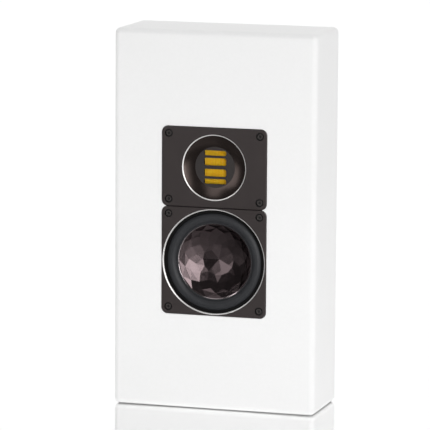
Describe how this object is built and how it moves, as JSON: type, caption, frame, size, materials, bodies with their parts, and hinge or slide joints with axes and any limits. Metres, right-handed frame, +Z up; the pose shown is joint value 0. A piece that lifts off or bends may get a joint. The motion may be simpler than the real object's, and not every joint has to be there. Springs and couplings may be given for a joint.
{
  "type": "wall speaker",
  "caption": "Slim white wall speaker with a pleated-foil tweeter and a faceted woofer cone on dark metal plates, hung by keyholes in its back.",
  "frame": {"origin": "middle of the underside of the overall box, bumpers and driver plates included", "axes": "+Z up, the front with the drivers faces -Y, +X to the right of someone who looks at the front"},
  "size_m": [0.222, 0.0892, 0.404],
  "materials": {
    "white_lacquer": "white satin lacquer on fibreboard",
    "dark_anodised": "dark brown-grey anodised, bright turned bevel",
    "cone_metal": "dark glossy metal skin with flat facets",
    "surround_rubber": "matt dark rubber",
    "foil": "golden film",
    "black_steel": "black oxide",
    "zinc_steel": "zinc plated",
    "pole_steel": "dark satin coating",
    "ferrite": "sintered ferrite",
    "neodymium": "nickel plated",
    "cast_basket": "black powder coat on die-cast metal",
    "gasket_foam": "closed-cell foam",
    "bumper_rubber": "soft rubber",
    "spider_cloth": "resin-treated cloth",
    "former": "rolled foil",
    "copper": "enamelled wire",
    "tag_board": "fibre board",
    "tags": "tinned blades",
    "black_moulding": "moulded black plastic",
    "felt": "grey felt",
    "wool": "polyester wool",
    "circuit_board": "green lacquered board",
    "film_case": "yellow moulded case",
    "can_sleeve": "shrink sleeve",
    "cement": "ceramic case",
    "post_brass": "gold plated brass",
    "red_cap": "clear red plastic",
    "black_cap": "black plastic"
  },
  "bodies": {
    "cabinet": {"cabinet_shell": "white_lacquer", "rear_panel": "white_lacquer", "woofer_faceplate": "dark_anodised", "tweeter_faceplate": "dark_anodised", "woofer_surround": "surround_rubber", "tweeter_foil": "foil", "woofer_screws": "black_steel", "tweeter_screws": "black_steel", "rear_panel_screws": "black_steel", "terminal_cup_screws": "black_steel", "hanger_plates": "zinc_steel", "hanger_screws": "zinc_steel", "board_screws": "zinc_steel", "tweeter_cup_screws": "zinc_steel", "woofer_top_plate": "zinc_steel", "woofer_yoke": "zinc_steel", "tweeter_front_pole": "pole_steel", "tweeter_rear_pole": "pole_steel", "woofer_magnet": "ferrite", "tweeter_magnets": "neodymium", "woofer_basket": "cast_basket", "woofer_gasket": "gasket_foam", "tweeter_gasket": "gasket_foam", "wall_bumpers": "bumper_rubber", "woofer_spider": "spider_cloth", "woofer_inductor": "copper", "tweeter_inductor": "copper", "woofer_terminal_board": "tag_board", "tweeter_terminal_board": "tag_board", "woofer_terminal_tabs": "tags", "tweeter_terminal_tabs": "tags", "tweeter_foil_frame": "black_moulding", "tweeter_rear_cup": "black_moulding", "terminal_cup": "black_moulding", "board_standoffs": "black_moulding", "tweeter_felt": "felt", "left_damping_pad": "wool", "right_damping_pad": "wool", "crossover_board": "circuit_board", "film_capacitors": "film_case", "upright_capacitor": "can_sleeve", "power_resistor": "cement", "post_studs": "post_brass", "post_nuts": "post_brass"},
    "cone": {"woofer_cone": "cone_metal", "coil_former": "former", "voice_coil": "copper"},
    "red_washer": {"red_post_washer": "post_brass"},
    "red_cap": {"red_post_cap": "red_cap"},
    "black_washer": {"black_post_washer": "post_brass"},
    "black_cap": {"black_post_cap": "black_cap"}
  },
  "joints": [
    {"name": "woofer_travel", "type": "slide", "parent": "cabinet", "child": "cone", "axis": [0, -1, 0], "range_m": [-0.004, 0.004], "stiffness_N_per_m": 1200, "deforming": ["woofer_surround", "woofer_spider"]},
    {"name": "red_cap_rise", "type": "slide", "parent": "cabinet", "child": "red_washer", "axis": [0, 1, 0], "range_m": [0, 0.005]},
    {"name": "red_cap_turn", "type": "hinge", "parent": "red_washer", "child": "red_cap", "pos_m": [-0.013, 0.0301, 0.062], "axis": [0, 1, 0], "range_deg": [0, 1800]},
    {"name": "black_cap_rise", "type": "slide", "parent": "cabinet", "child": "black_washer", "axis": [0, 1, 0], "range_m": [0, 0.005]},
    {"name": "black_cap_turn", "type": "hinge", "parent": "black_washer", "child": "black_cap", "pos_m": [0.013, 0.0301, 0.062], "axis": [0, 1, 0], "range_deg": [0, 1800]}
  ],
  "couplings": [
    {"joint": "red_cap_turn", "follows": "red_cap_rise", "rad_per_m": 6283.2},
    {"joint": "black_cap_turn", "follows": "black_cap_rise", "rad_per_m": 6283.2}
  ]
}
